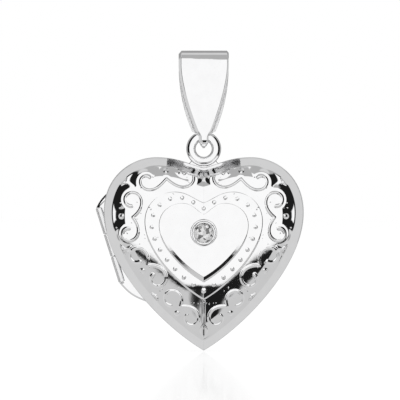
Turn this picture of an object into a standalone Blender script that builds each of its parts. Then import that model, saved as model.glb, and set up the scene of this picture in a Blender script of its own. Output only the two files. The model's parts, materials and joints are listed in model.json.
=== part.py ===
"""A small engraved heart locket on a folded bail, at its real size.

Frame: +X to the wearer's left as seen from the front, the engraved front faces -Y, +Z up.
Origin: where the chain bears, at the inside top of the bail's fold.

The locket is two stamped half shells that meet at the plane y = 0. They turn on a three knuckle
hinge on the left side. An inner rim in the back half stands into the front half and holds it shut.
"""

import math

import bmesh
import bpy
from mathutils import Matrix, Vector

MM = 0.001

# Heart outline at the plane where the two halves meet
HEART_WIDTH = 20.0 * MM
HEART_HEIGHT = 19.33 * MM
CLEFT_DEPTH = 1.03 * MM
WIDEST_HEIGHT = 13.8 * MM
LOBE_SPACING = 9.5 * MM
STEPS_FLANK = 12
STEPS_SHOULDER = 7
STEPS_LOBE = 5

# Half shells
HALF_DEPTH = 2.6 * MM
WALL = 0.35 * MM
PARTING_GAP = 0.06 * MM
RIM_WALL = 0.35 * MM
RIM_WIDTH = 0.92 * MM
RIM_RISE = 0.8 * MM
RIM_STEPS = 5
DOME_STEPS = 4
PANEL_RISE = 0.1 * MM
PANEL_SLOPE = 0.12 * MM
PANEL_WIDTH = 8.9 * MM
PANEL_HEIGHT = 7.8 * MM
PANEL_CLEFT = 1.1 * MM
PANEL_TIP = 6.95 * MM

# Inner rims, photo frames and windows
SOLDER_GAP = 0.04 * MM
SNAP_GAP = 0.06 * MM
SNAP_WALL = 0.27 * MM
SNAP_STAND = 0.45 * MM
LEDGE_WIDTH = 0.42 * MM
LEDGE_THICKNESS = 0.1 * MM
BACK_LEDGE_DROP = 0.2 * MM
FRONT_LEDGE_DROP = 0.16 * MM
FRONT_RIM_WALL = 0.2 * MM
FRONT_RIM_START = 0.38 * MM
FRAME_WIDTH = 0.85 * MM
FRAME_THICKNESS = 0.3 * MM
FRAME_BEVEL = 0.06 * MM
WINDOW_THICKNESS = 0.12 * MM
FIT_GAP = 0.04 * MM

# Hinge
HINGE_HEIGHT = 11.2 * MM
HINGE_SPAN = 2.4 * MM
HINGE_INSET = 0.03 * MM
HINGE_DROP = 0.67 * MM
KNUCKLE_RADIUS = 0.33 * MM
PIN_RADIUS = 0.14 * MM
PIN_GAP = 0.02 * MM
PIN_HEAD = 0.06 * MM
MIDDLE_KNUCKLE = 2.3 * MM
END_KNUCKLE = 2.65 * MM
KNUCKLE_GAP = 0.06 * MM
WING_THICKNESS = 0.3 * MM
UPPER_WING_REACH = 1.5 * MM
UPPER_WING_BULGE = 0.1 * MM
LOWER_WING_REACH = 1.9 * MM
LOWER_WING_BULGE = 0.28 * MM

# Eyelet soldered to the back half at the cleft
EYELET_RADIUS = 1.76 * MM
EYELET_HOLE = 0.8 * MM
EYELET_FLARE = 0.15 * MM
EYELET_THICKNESS = 1.1 * MM
EYELET_ROUND = 0.24 * MM
EYELET_CLEARANCE = 0.11 * MM
SADDLE_TOP_WIDTH = 2.5 * MM
SADDLE_FOOT_WIDTH = 3.4 * MM
SADDLE_HEIGHT = 0.62 * MM
SADDLE_THICKNESS = 0.42 * MM

# Bail
SWING_DROP = 8.2 * MM
BAIL_THICKNESS = 0.35 * MM
BAIL_TOP_WIDTH = 5.0 * MM
BAIL_FRONT_END_WIDTH = 1.36 * MM
BAIL_BACK_END_WIDTH = 1.96 * MM
BAIL_WAIST_WIDTH = 1.24 * MM
BAIL_WAIST_HEIGHT = 0.15 * MM
BAIL_SHOULDER_HEIGHT = 0.5 * MM
BAIL_BEND_WIDTH = 0.6 * MM
BAIL_FOLD_RADIUS = 1.25 * MM
BAIL_BEND_RADIUS = 0.9 * MM
BAIL_BEVEL = 0.06 * MM
BAIL_LEAF_STEPS = 9
BAIL_TURN_STEPS = 12

# Stone and its setting
STONE_HEIGHT = 11.78 * MM
STONE_DIAMETER = 1.96 * MM
TABLE_SHARE = 0.56
GIRDLE_DEPTH = 0.1 * MM
GIRDLE_THICKNESS = 0.05 * MM
CROWN_HEIGHT = 0.24 * MM
PAVILION_DEPTH = 0.62 * MM
SETTING_WALL = 0.14 * MM
SETTING_STAND = 0.08 * MM
SETTING_DEPTH = 0.85 * MM
SETTING_OPENING = 0.32 * MM
GRAIN_RADIUS = 0.13 * MM
STONE_GAP = 0.03 * MM

# Places that follow from the sizes
EYELET_Z = -SWING_DROP - (EYELET_RADIUS + EYELET_HOLE) / 2
CLEFT_Z = EYELET_Z - EYELET_RADIUS - EYELET_CLEARANCE
TIP_Z = CLEFT_Z - HEART_HEIGHT + CLEFT_DEPTH
STONE_Z = TIP_Z + STONE_HEIGHT
INNER_CREST = RIM_WALL + RIM_RISE - WALL
BACK_LEDGE_DEPTH = INNER_CREST - BACK_LEDGE_DROP
FRONT_LEDGE_DEPTH = INNER_CREST - FRONT_LEDGE_DROP
SNAP_OUTSIDE = WALL + SNAP_GAP
SNAP_INSIDE = SNAP_OUTSIDE + SNAP_WALL
FRONT_RIM_OUTSIDE = SNAP_INSIDE + SNAP_GAP
FRONT_RIM_INSIDE = FRONT_RIM_OUTSIDE + FRONT_RIM_WALL
PANEL_DEPTH = HALF_DEPTH - PANEL_RISE
BAIL_FRONT_TAPER = 1.55
BAIL_BACK_TAPER = 2.0


def clear_scene():
    """Remove everything the scene holds."""
    for thing in list(bpy.data.objects):
        bpy.data.objects.remove(thing, do_unlink=True)


def new_collection(name):
    """A collection linked to the scene."""
    made = bpy.data.collections.new(name)
    bpy.context.scene.collection.children.link(made)
    return made


def metal(name, color, roughness):
    """A polished metal."""
    return surface(name, color, roughness, metallic=1.0)


def surface(name, color, roughness, metallic=0.0, transmission=0.0):
    """A Principled material of one colour."""
    made = bpy.data.materials.new(name)
    made.use_nodes = True
    shader = made.node_tree.nodes["Principled BSDF"]
    shader.inputs["Base Color"].default_value = (*color, 1.0)
    shader.inputs["Roughness"].default_value = roughness
    shader.inputs["Metallic"].default_value = metallic
    shader.inputs["Transmission Weight"].default_value = transmission
    return made


def place(name, mesh, collection, material=None, matrix=None):
    """An object of a mesh, placed by its matrix."""
    made = bpy.data.objects.new(name, mesh)
    collection.objects.link(made)
    if matrix is not None:
        made.matrix_world = matrix
    if material is not None:
        mesh.materials.append(material)
    return made


def mesh_from(name, points, faces, edges=()):
    """A mesh of the given points, faces and loose edges."""
    mesh = bpy.data.meshes.new(name)
    mesh.from_pydata([tuple(point) for point in points], list(edges), list(faces))
    mesh.update()
    return mesh


def smooth(made, angle=35.0):
    """Shade a piece smooth apart from its sharp edges."""
    made.data.shade_smooth()
    made.data.set_sharp_from_angle(angle=math.radians(angle))


def bezier(start, first, second, end, steps):
    """Points along one cubic stretch, without its end."""
    points = []
    for index in range(steps):
        t = index / steps
        a, b, c, d = (1 - t) ** 3, 3 * t * (1 - t) ** 2, 3 * t * t * (1 - t), t**3
        points.append(a * start + b * first + c * second + d * end)
    return points


def heart_outline(width, height, cleft, tip_z):
    """A closed heart in x and z, anticlockwise as seen from the front, from its tip."""
    half = width / 2
    wide_z = height * WIDEST_HEIGHT / HEART_HEIGHT
    lobe = half * LOBE_SPACING / HEART_WIDTH
    tip = Vector((0, 0))
    side = Vector((half, wide_z))
    top = Vector((lobe, height))
    notch = Vector((0, height - cleft))
    right = bezier(tip, Vector((0.415 * half, 0.125 * height)), side - Vector((0, 0.272 * height)), side, STEPS_FLANK)
    right += bezier(side, side + Vector((0, 0.195 * height)), top + Vector((0.236 * half, 0)), top, STEPS_SHOULDER)
    right += bezier(top, top - Vector((0.23 * half, 0)), notch + Vector((0.15 * half, 0.3 * cleft)), notch, STEPS_LOBE)
    left = [Vector((-point.x, point.y)) for point in reversed(right[1:])]
    return [point + Vector((0, tip_z)) for point in right + [notch] + left]


def inset(outline, distance):
    """The outline moved inwards by a distance, with mitred corners; outwards if negative."""
    moved = []
    count = len(outline)
    for index, point in enumerate(outline):
        before = (point - outline[index - 1]).normalized()
        after = (outline[(index + 1) % count] - point).normalized()
        normal = Vector((-before.y - after.y, before.x + after.x)).normalized()
        half_turn = normal.dot(Vector((-before.y, before.x)))
        moved.append(point + normal * (distance / half_turn))
    return moved


def between(first, second, share):
    """The outline a share of the way from the first to the second."""
    return [a.lerp(b, share) for a, b in zip(first, second)]


def ring_3d(outline, depth, side):
    """An outline as points at a depth behind the parting plane, on the side -1 front or 1 back."""
    return [Vector((point.x, side * depth, point.y)) for point in outline]


def band_faces(rows, count, flip):
    """Quads between successive rows of a closed outline."""
    faces = []
    for row in range(rows - 1):
        for index in range(count):
            following = (index + 1) % count
            quad = [
                row * count + index,
                row * count + following,
                (row + 1) * count + following,
                (row + 1) * count + index,
            ]
            faces.append(quad[::-1] if flip else quad)
    return faces


def loft_surface(name, rings, side):
    """An open surface through the rings, capped at the last one, facing outwards."""
    count = len(rings[0])
    flip = side > 0
    faces = band_faces(len(rings), count, flip)
    cap = [(len(rings) - 1) * count + index for index in range(count)]
    faces.append(cap[::-1] if flip else cap)
    return mesh_from(name, [point for ring in rings for point in ring], faces)


def loft_hoop(name, rings, side):
    """A closed hoop: the rings are its section's corners, outside first, going deeper."""
    count = len(rings[0])
    flip = side > 0
    faces = band_faces(len(rings) + 1, count, flip)
    total = len(rings) * count
    wrapped = [[corner % total for corner in face] for face in faces]
    return mesh_from(name, [point for ring in rings for point in ring], wrapped)


def solidify(made, thickness, offset=-1.0):
    """Give an open surface its wall."""
    wall = made.modifiers.new("wall", "SOLIDIFY")
    wall.thickness = thickness
    wall.offset = offset
    wall.use_even_offset = True
    return wall


def bevel(made, width, segments=1, angle=40.0):
    """Round the sharp edges."""
    edge = made.modifiers.new("edges", "BEVEL")
    edge.width = width
    edge.segments = segments
    edge.limit_method = "ANGLE"
    edge.angle_limit = math.radians(angle)
    return edge


def cut(made, cutter, operation="DIFFERENCE"):
    """Cut or join a piece with another one."""
    change = made.modifiers.new(operation.lower(), "BOOLEAN")
    change.operation = operation
    change.solver = "EXACT"
    change.object = cutter
    return change


def hide_guide(made):
    """Keep a cutter out of the model."""
    made.hide_render = True
    made.display_type = "WIRE"
    return made


def turned(name, profile, collection, material, matrix, steps=32, closed=True):
    """A profile of (radius, height) turned about the local Z axis."""
    points = [(radius, 0, height) for radius, height in profile]
    edges = [(index, index + 1) for index in range(len(profile) - 1)]
    if closed:
        edges.append((len(profile) - 1, 0))
    made = place(name, mesh_from(name, points, [], edges), collection, material, matrix)
    screw = made.modifiers.new("turn", "SCREW")
    screw.angle = math.tau
    screw.steps = steps
    screw.render_steps = steps
    screw.use_merge_vertices = True
    screw.merge_threshold = 0.000001
    screw.use_smooth_shade = True
    return made


def cylinder(name, radius, length, collection, material=None, matrix=None, steps=24):
    """A closed cylinder centred on its own Z axis."""
    shape = bmesh.new()
    bmesh.ops.create_cone(
        shape, cap_ends=True, segments=steps, radius1=radius, radius2=radius, depth=length
    )
    mesh = bpy.data.meshes.new(name)
    shape.to_mesh(mesh)
    shape.free()
    return place(name, mesh, collection, material, matrix)


def prism(name, outline, near, far, collection, material=None):
    """A solid with the given outline in x and z, from y = near back to y = far."""
    count = len(outline)
    points = [Vector((point.x, near, point.y)) for point in outline]
    points += [Vector((point.x, far, point.y)) for point in outline]
    faces = band_faces(2, count, True)
    faces.append(list(range(count)))
    faces.append(list(range(2 * count - 1, count - 1, -1)))
    made = place(name, mesh_from(name, points, faces), collection, material)
    face_outwards(made.data)
    return made


def face_outwards(mesh):
    """Turn every face of a closed mesh outwards."""
    shape = bmesh.new()
    shape.from_mesh(mesh)
    bmesh.ops.recalc_face_normals(shape, faces=shape.faces)
    shape.to_mesh(mesh)
    shape.free()


HEART = heart_outline(HEART_WIDTH, HEART_HEIGHT, CLEFT_DEPTH, TIP_Z)
PANEL = heart_outline(PANEL_WIDTH, PANEL_HEIGHT, PANEL_CLEFT, TIP_Z + PANEL_TIP)


def outline_point(height):
    """The point of the heart's left side at a height."""
    for index in range(len(HEART)):
        upper = HEART[index]
        lower = HEART[(index + 1) % len(HEART)]
        if upper.x < 0 and upper.y >= height > lower.y:
            return lower.lerp(upper, (height - lower.y) / (upper.y - lower.y))
    return HEART[0]


class Hinge:
    """The hinge line, straight along the left side; places count from the middle knuckle."""

    def __init__(self):
        height = TIP_Z + HINGE_HEIGHT
        lower = outline_point(height - HINGE_SPAN / 2)
        upper = outline_point(height + HINGE_SPAN / 2)
        up = (upper - lower).normalized()
        inward = Vector((up.y, -up.x))
        centre = outline_point(height) + inward * HINGE_INSET
        self.up = up
        self.inward = inward
        self.centre = centre - up * HINGE_DROP
        axis = Vector((up.x, 0, up.y))
        turn = axis.to_track_quat("Z", "Y").to_matrix().to_4x4()
        self.turn = turn

    def at(self, along, across=0.0):
        """A point in x and z, along the hinge line and inwards from it."""
        return self.centre + self.up * along + self.inward * across

    def matrix(self, along=0.0):
        """A place on the hinge line with its local Z axis along it."""
        point = self.at(along)
        return Matrix.Translation((point.x, 0, point.y)) @ self.turn


HINGE = Hinge()
HINGE_END = MIDDLE_KNUCKLE / 2 + KNUCKLE_GAP + END_KNUCKLE


def shell_rings(side):
    """The outside of a half shell, from the parting plane to the flat panel."""
    start = PARTING_GAP / 2
    rings = [ring_3d(HEART, start, side)]
    for step in range(RIM_STEPS + 1):
        turn = math.radians(90 * step / RIM_STEPS)
        distance = RIM_WIDTH * (1 - math.cos(turn))
        depth = RIM_WALL + RIM_RISE * math.sin(turn)
        rings.append(ring_3d(inset(HEART, distance), depth, side))
    rim_depth = RIM_WALL + RIM_RISE
    rim_edge = inset(HEART, RIM_WIDTH)
    for step in range(1, DOME_STEPS + 1):
        share = (step / DOME_STEPS) ** 1.4
        depth = rim_depth + (PANEL_DEPTH - rim_depth) * (1 - (1 - share) ** 2.2)
        rings.append(ring_3d(between(rim_edge, PANEL, share), depth, side))
    rings.append(ring_3d(inset(PANEL, PANEL_SLOPE), HALF_DEPTH, side))
    return rings


def build_shell(name, side, parts, material, groove):
    """One stamped half: an open dome with a wall, grooved for the hinge."""
    shell = place(name, loft_surface(name, shell_rings(side), side), parts, material)
    smooth(shell)
    solidify(shell, WALL)
    cut(shell, groove)
    return shell


def build_back_rim(parts, material, groove):
    """The rim soldered in the back half. It stands into the front half and carries the frame."""
    stand, ledge = -SNAP_STAND, BACK_LEDGE_DEPTH
    foot = ledge + LEDGE_THICKNESS
    section = [
        (SNAP_OUTSIDE, stand),
        (SNAP_OUTSIDE, RIM_WALL),
        (SNAP_INSIDE, foot),
        (SNAP_INSIDE + LEDGE_WIDTH, foot),
        (SNAP_INSIDE + LEDGE_WIDTH, ledge),
        (SNAP_INSIDE, ledge),
        (SNAP_INSIDE, stand),
    ]
    rings = [ring_3d(inset(HEART, distance), depth, 1) for distance, depth in section]
    rim = place("back_inner_rim", loft_hoop("back_inner_rim", rings, 1), parts, material)
    smooth(rim)
    cut(rim, groove)
    return rim


def build_front_rim(parts, material):
    """The rim soldered in the front half, clear of the back one, with its frame's ledge."""
    start, ledge = FRONT_RIM_START, FRONT_LEDGE_DEPTH
    foot = ledge + LEDGE_THICKNESS
    section = [
        (FRONT_RIM_OUTSIDE, start),
        (FRONT_RIM_OUTSIDE, foot),
        (FRONT_RIM_INSIDE + LEDGE_WIDTH, foot),
        (FRONT_RIM_INSIDE + LEDGE_WIDTH, ledge),
        (FRONT_RIM_INSIDE, ledge),
        (FRONT_RIM_INSIDE, start),
    ]
    rings = [ring_3d(inset(HEART, distance), depth, -1) for distance, depth in section]
    rim = place("front_inner_rim", loft_hoop("front_inner_rim", rings, -1), parts, material)
    smooth(rim)
    return rim


def build_photo_pieces(half, side, rim_inside, ledge, parts, silver, clear):
    """The clear window that lies on the ledge and the heart frame that keeps it there."""
    window_far = ledge - FIT_GAP
    window_near = window_far - WINDOW_THICKNESS
    window_edge = inset(HEART, rim_inside + FIT_GAP)
    near, far = sorted((side * window_near, side * window_far))
    prism(half + "_photo_window", window_edge, near, far, parts, clear)
    frame_far = window_near - FIT_GAP
    frame_near = frame_far - FRAME_THICKNESS
    outside = rim_inside + FIT_GAP
    inside = outside + FRAME_WIDTH
    section = [
        (outside, frame_near),
        (outside, frame_far),
        (inside, frame_far),
        (inside, frame_near + FRAME_BEVEL),
        (inside - FRAME_BEVEL, frame_near),
    ]
    rings = [ring_3d(inset(HEART, distance), depth, side) for distance, depth in section]
    name = half + "_photo_frame"
    frame = place(name, loft_hoop(name, rings, side), parts, silver)
    smooth(frame)


def build_knuckle(name, centre, length, parts, material):
    """One tube of the hinge, bored for the pin."""
    bore = PIN_RADIUS + PIN_GAP
    half = length / 2
    profile = [(KNUCKLE_RADIUS, half), (KNUCKLE_RADIUS, -half), (bore, -half), (bore, half)]
    knuckle = turned(name, profile, parts, material, HINGE.matrix(centre), steps=24)
    return knuckle


def build_hinge(parts, material, pin_material):
    """Three knuckles and their pin."""
    offset = (MIDDLE_KNUCKLE + END_KNUCKLE) / 2 + KNUCKLE_GAP
    build_knuckle("hinge_knuckle_upper", offset, END_KNUCKLE, parts, material)
    build_knuckle("hinge_knuckle_middle", 0.0, MIDDLE_KNUCKLE, parts, material)
    build_knuckle("hinge_knuckle_lower", -offset, END_KNUCKLE, parts, material)
    length = 2 * (HINGE_END - PIN_HEAD)
    cylinder("hinge_pin", PIN_RADIUS, length, parts, pin_material, HINGE.matrix(), steps=20)


def build_wing(name, direction, reach, bulge, parts, guides, material):
    """The plate that joins an end knuckle to the back half and fills the corner beside it."""
    outer = -KNUCKLE_RADIUS * 0.9
    end = HINGE_END + KNUCKLE_GAP / 2
    start = MIDDLE_KNUCKLE / 2 + KNUCKLE_GAP
    corner = HINGE.at(direction * end, outer)
    landing = outline_point(corner.y + direction * reach)
    chord = landing - corner
    away = Vector((-chord.y, chord.x)).normalized() * direction
    edge = []
    steps = 6
    for index in range(steps + 1):
        share = index / steps
        edge.append(corner + chord * share + away * bulge * math.sin(math.pi * share))
    inner = landing + HINGE.inward * WALL * 2
    outline = [HINGE.at(direction * start), HINGE.at(direction * end)] + edge
    outline += [inner, HINGE.at(direction * start, KNUCKLE_RADIUS * 2)]
    near = PARTING_GAP / 2
    wing = prism(name, outline, near, near + WING_THICKNESS, parts, material)
    face_outwards(wing.data)
    middle = direction * (start + end) / 2
    tube = cylinder(
        name + "_tube_cutter", KNUCKLE_RADIUS + SOLDER_GAP, end - start + 2 * SOLDER_GAP, guides, None,
        HINGE.matrix(middle),
    )
    hide_guide(tube)
    cut(wing, tube)
    return wing


def build_eyelet(parts, guides, material, heart_cutter):
    """The rounded ring that faces forwards, on a flared saddle that fits the cleft."""
    half = EYELET_THICKNESS / 2
    round_in = EYELET_RADIUS - EYELET_ROUND
    flared = EYELET_HOLE + EYELET_FLARE
    profile = [
        (round_in, half),
        (EYELET_RADIUS - EYELET_ROUND * 0.3, half - EYELET_ROUND * 0.3),
        (EYELET_RADIUS, half - EYELET_ROUND),
        (EYELET_RADIUS, EYELET_ROUND - half),
        (EYELET_RADIUS - EYELET_ROUND * 0.3, EYELET_ROUND * 0.3 - half),
        (round_in, -half),
        (flared, -half),
        (EYELET_HOLE, -half * 0.4),
        (EYELET_HOLE, half * 0.4),
        (flared, half),
    ]
    facing = Matrix.Translation((0, 0, EYELET_Z)) @ Matrix.Rotation(math.radians(90), 4, "X")
    ring = turned("eyelet", profile, parts, material, facing, steps=40)
    top = EYELET_Z - EYELET_RADIUS + SADDLE_HEIGHT
    foot = CLEFT_Z - CLEFT_DEPTH / 4
    flare_z = CLEFT_Z + CLEFT_DEPTH / 3
    outline = [
        Vector((-SADDLE_FOOT_WIDTH / 2, foot)),
        Vector((SADDLE_FOOT_WIDTH / 2, foot)),
        Vector((SADDLE_FOOT_WIDTH / 2, flare_z)),
        Vector((SADDLE_TOP_WIDTH / 2, top)),
        Vector((-SADDLE_TOP_WIDTH / 2, top)),
        Vector((-SADDLE_FOOT_WIDTH / 2, flare_z)),
    ]
    near = PARTING_GAP / 2
    saddle = hide_guide(prism("saddle_guide", outline, near, near + SADDLE_THICKNESS, guides))
    cut(saddle, heart_cutter)
    cut(ring, saddle, "UNION")
    return ring


def leaf_width(share, end_width, taper):
    """The strap's width a share of the way down a leaf."""
    return BAIL_TOP_WIDTH - (BAIL_TOP_WIDTH - end_width) * share**taper


def bail_path():
    """Points along the middle of the strap as (y, z, width), down the front and up the back."""
    fold = BAIL_FOLD_RADIUS + BAIL_THICKNESS / 2
    bend = BAIL_BEND_RADIUS + BAIL_THICKNESS / 2
    fold_z = -BAIL_FOLD_RADIUS
    leaf = SWING_DROP - BAIL_FOLD_RADIUS
    shoulder = 1 - BAIL_SHOULDER_HEIGHT / leaf
    waist = 1 - BAIL_WAIST_HEIGHT / leaf
    path = []
    for index in range(BAIL_TURN_STEPS):
        turn = math.radians(180 * index / BAIL_TURN_STEPS)
        path.append((fold * math.cos(turn), fold_z + fold * math.sin(turn), BAIL_TOP_WIDTH))
    for index in range(BAIL_LEAF_STEPS):
        share = index / BAIL_LEAF_STEPS
        width = leaf_width(share, BAIL_FRONT_END_WIDTH, BAIL_FRONT_TAPER)
        path.append((-fold + (fold - bend) * share, fold_z - leaf * share, width))
    for index in range(BAIL_TURN_STEPS):
        turn = math.radians(180 * index / BAIL_TURN_STEPS)
        side = BAIL_FRONT_END_WIDTH if index * 2 < BAIL_TURN_STEPS else BAIL_WAIST_WIDTH
        width = BAIL_BEND_WIDTH + (side - BAIL_BEND_WIDTH) * abs(math.cos(turn)) ** 1.2
        path.append((-bend * math.cos(turn), -SWING_DROP - bend * math.sin(turn), width))
    path.append((bend, -SWING_DROP, BAIL_WAIST_WIDTH))
    path.append((fold - (fold - bend) * waist, fold_z - leaf * waist, BAIL_WAIST_WIDTH))
    for index in range(BAIL_LEAF_STEPS):
        share = shoulder * (1 - index / BAIL_LEAF_STEPS)
        width = leaf_width(share, BAIL_BACK_END_WIDTH, BAIL_BACK_TAPER)
        path.append((fold - (fold - bend) * share, fold_z - leaf * share, width))
    return path


def build_bail(parts, material):
    """The tapered strap, folded over the chain above and through the eyelet below."""
    points = []
    for y, z, width in bail_path():
        points += [Vector((-width / 2, y, z)), Vector((width / 2, y, z))]
    count = len(points)
    faces = []
    for index in range(0, count, 2):
        faces.append([index, index + 1, (index + 3) % count, (index + 2) % count])
    bail = place("bail", mesh_from("bail", points, faces), parts, material)
    smooth(bail)
    solidify(bail, BAIL_THICKNESS, offset=0.0)
    bevel(bail, BAIL_BEVEL, angle=60.0)
    return bail


def front_matrix(depth):
    """A place on the stone's axis with its local Z axis facing forwards, at a depth."""
    return Matrix.Translation((0, -depth, STONE_Z)) @ Matrix.Rotation(math.radians(90), 4, "X")


def build_setting(parts, guides, material):
    """The cup that holds the stone, with four raised grains over its edge."""
    stone = STONE_DIAMETER / 2
    inner = stone + STONE_GAP
    outer = inner + SETTING_WALL
    seat = -GIRDLE_DEPTH - GIRDLE_THICKNESS - STONE_GAP * 2
    slope = (PAVILION_DEPTH + STONE_GAP) / stone
    shoulder = inner - STONE_GAP * 2
    floor_z = seat - (shoulder - SETTING_OPENING) * slope
    profile = [
        (outer, SETTING_STAND),
        (outer, -SETTING_DEPTH * 0.6),
        (outer * 0.72, -SETTING_DEPTH),
        (SETTING_OPENING, -SETTING_DEPTH),
        (SETTING_OPENING, floor_z),
        (shoulder, seat),
        (inner, seat),
        (inner, SETTING_STAND),
    ]
    setting = turned("stone_setting", profile, parts, material, front_matrix(HALF_DEPTH), steps=32)
    for index in range(4):
        turn = math.radians(45 + 90 * index)
        reach = inner + GRAIN_RADIUS * 0.25
        middle = Vector((reach * math.cos(turn), reach * math.sin(turn), SETTING_STAND))
        grain_mesh = bpy.data.meshes.new("grain")
        shape = bmesh.new()
        bmesh.ops.create_uvsphere(shape, u_segments=10, v_segments=6, radius=GRAIN_RADIUS)
        shape.to_mesh(grain_mesh)
        shape.free()
        where = front_matrix(HALF_DEPTH) @ Matrix.Translation(middle)
        grain = hide_guide(place("grain_guide_%d" % index, grain_mesh, guides, None, where))
        cut(setting, grain, "UNION")
    return setting


def build_stone(parts, material):
    """A round brilliant: a flat table, a sloping crown, a thin girdle and a pointed pavilion."""
    radius = STONE_DIAMETER / 2
    girdle_top = -GIRDLE_DEPTH
    girdle_foot = girdle_top - GIRDLE_THICKNESS
    profile = [
        (0, girdle_top + CROWN_HEIGHT),
        (radius * TABLE_SHARE, girdle_top + CROWN_HEIGHT),
        (radius, girdle_top),
        (radius, girdle_foot),
        (0, girdle_foot - PAVILION_DEPTH),
    ]
    stone = turned(
        "stone", profile, parts, material, front_matrix(HALF_DEPTH), steps=16, closed=False
    )
    stone.modifiers["turn"].use_smooth_shade = False
    return stone


def build_locket():
    """Every piece of the locket."""
    clear_scene()
    parts = new_collection("locket")
    guides = new_collection("cutters")
    silver = metal("polished_silver", (0.86, 0.86, 0.87), 0.08)
    pin_metal = metal("pin_silver", (0.74, 0.74, 0.76), 0.2)
    clear = surface("clear_sheet", (0.95, 0.96, 0.97), 0.05, transmission=0.9)
    gem = surface("clear_stone", (0.97, 0.98, 1.0), 0.0, transmission=1.0)

    groove_length = 2 * (HINGE_END + KNUCKLE_GAP)
    groove = cylinder(
        "hinge_groove_cutter", KNUCKLE_RADIUS + SOLDER_GAP, groove_length, guides, None, HINGE.matrix()
    )
    hide_guide(groove)
    cleared = inset(HEART, -SOLDER_GAP)
    heart_cutter = hide_guide(prism("heart_cutter", cleared, -HALF_DEPTH, HALF_DEPTH, guides))

    build_shell("back_shell", 1, parts, silver, groove)
    front = build_shell("front_shell", -1, parts, silver, groove)
    hole_radius = STONE_DIAMETER / 2 + STONE_GAP + SETTING_WALL + SOLDER_GAP
    hole = cylinder(
        "stone_hole_cutter", hole_radius, HALF_DEPTH, guides, None, front_matrix(HALF_DEPTH), steps=32
    )
    cut(front, hide_guide(hole))
    build_back_rim(parts, silver, groove)
    build_front_rim(parts, silver)
    build_photo_pieces("back", 1, SNAP_INSIDE, BACK_LEDGE_DEPTH, parts, silver, clear)
    build_photo_pieces("front", -1, FRONT_RIM_INSIDE, FRONT_LEDGE_DEPTH, parts, silver, clear)
    build_hinge(parts, silver, pin_metal)
    upper = build_wing(
        "hinge_wing_upper", 1, UPPER_WING_REACH, UPPER_WING_BULGE, parts, guides, silver
    )
    lower = build_wing(
        "hinge_wing_lower", -1, LOWER_WING_REACH, LOWER_WING_BULGE, parts, guides, silver
    )
    cut(upper, heart_cutter)
    cut(lower, heart_cutter)
    build_eyelet(parts, guides, silver, heart_cutter)
    build_bail(parts, silver)
    build_setting(parts, guides, silver)
    build_stone(parts, gem)


build_locket()
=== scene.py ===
"""Looks of the heart locket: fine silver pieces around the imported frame, in a white studio.

Sizes are in millimetres and become metres when a mesh is made. An outline is an array of
(x, z) points; a depth counts forwards from the parting plane on the front half and
backwards on the back half.
"""

import json
import math

import bmesh
import bpy
import numpy as np
from mathutils import Matrix, Vector


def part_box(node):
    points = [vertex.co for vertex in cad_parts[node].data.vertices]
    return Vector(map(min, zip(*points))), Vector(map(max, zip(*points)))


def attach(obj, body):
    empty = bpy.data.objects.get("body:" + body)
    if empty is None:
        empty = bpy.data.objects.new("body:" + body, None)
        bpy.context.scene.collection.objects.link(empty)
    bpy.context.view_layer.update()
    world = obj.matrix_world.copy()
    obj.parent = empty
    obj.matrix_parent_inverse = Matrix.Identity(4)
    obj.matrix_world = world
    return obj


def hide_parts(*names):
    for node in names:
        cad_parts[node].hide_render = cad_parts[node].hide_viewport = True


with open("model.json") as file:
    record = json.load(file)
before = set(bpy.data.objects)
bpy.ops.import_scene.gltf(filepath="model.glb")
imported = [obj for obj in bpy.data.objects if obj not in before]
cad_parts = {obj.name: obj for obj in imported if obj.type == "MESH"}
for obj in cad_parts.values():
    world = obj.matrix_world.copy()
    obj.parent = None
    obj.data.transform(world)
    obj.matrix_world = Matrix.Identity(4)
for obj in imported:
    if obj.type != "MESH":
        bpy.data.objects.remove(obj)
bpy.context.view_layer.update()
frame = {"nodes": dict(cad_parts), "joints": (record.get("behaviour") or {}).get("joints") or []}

MM = 0.001


def node_box(node):
    """Lowest and highest corner of a node, in millimetres."""
    low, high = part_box(node)
    return np.array(low) / MM, np.array(high) / MM


def half_size(node, axis):
    """Half a node's size along an axis, in millimetres, without rounding noise."""
    low, high = node_box(node)
    return round(float(high[axis] - low[axis]) / 2, 4)


def joint(name):
    """Place, in millimetres, and unit axis of a joint."""
    found = next(item for item in frame["joints"] if item["name"] == name)
    axis = np.array(found["axis"], float)
    return np.array(found["pos_m"], float) / MM, axis / np.linalg.norm(axis)


SHELL_LOW, SHELL_HIGH = node_box("front_shell")
TIP_Z = SHELL_LOW[2]
HEART_WIDTH = SHELL_HIGH[0] - SHELL_LOW[0]
HEART_HEIGHT = SHELL_HIGH[2] - SHELL_LOW[2]
HALF_DEPTH = -SHELL_LOW[1]
PARTING = -SHELL_HIGH[1]
HINGE_PLACE, HINGE_AXIS = joint("cover_hinge")
SWING_PLACE = joint("locket_swing")[0]

# Heart outline; the handles of its curves are shares of half the width and of the height
CLEFT_DEPTH = 1.03
WIDE_SHARE = 0.714
LOBE_SHARE = 0.475
TIP_HANDLE = (0.415, 0.125)
SIDE_HANDLES = (0.272, 0.195)
LOBE_HANDLES = (0.236, 0.23)
# Shares of half the width and of the cleft's depth
NOTCH_HANDLE = (0.15, 0.3)

# Section of a half shell, from the rim inwards
RIM_WALL = 0.18
RIM_WALL_ROWS = (0.08, 0.13)
RIM_ROUND = 0.07
RIM_ROUND_RISE = 0.22
RIM_WIDTH = 0.92
RIM_TOP = 1.36
RIM_BEVEL_STEPS = 8
DOME_TOP = 2.5
DOME_DROP = 0.85
DOME_POWER = 2.0
CLIMB_POWER = 1.15
TIP_FALL = 0.12
TIP_FALL_REACH = 1.3
TIP_FALL_LENGTH = 2.4
BACK_DOME_POWER = 2.2
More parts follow.
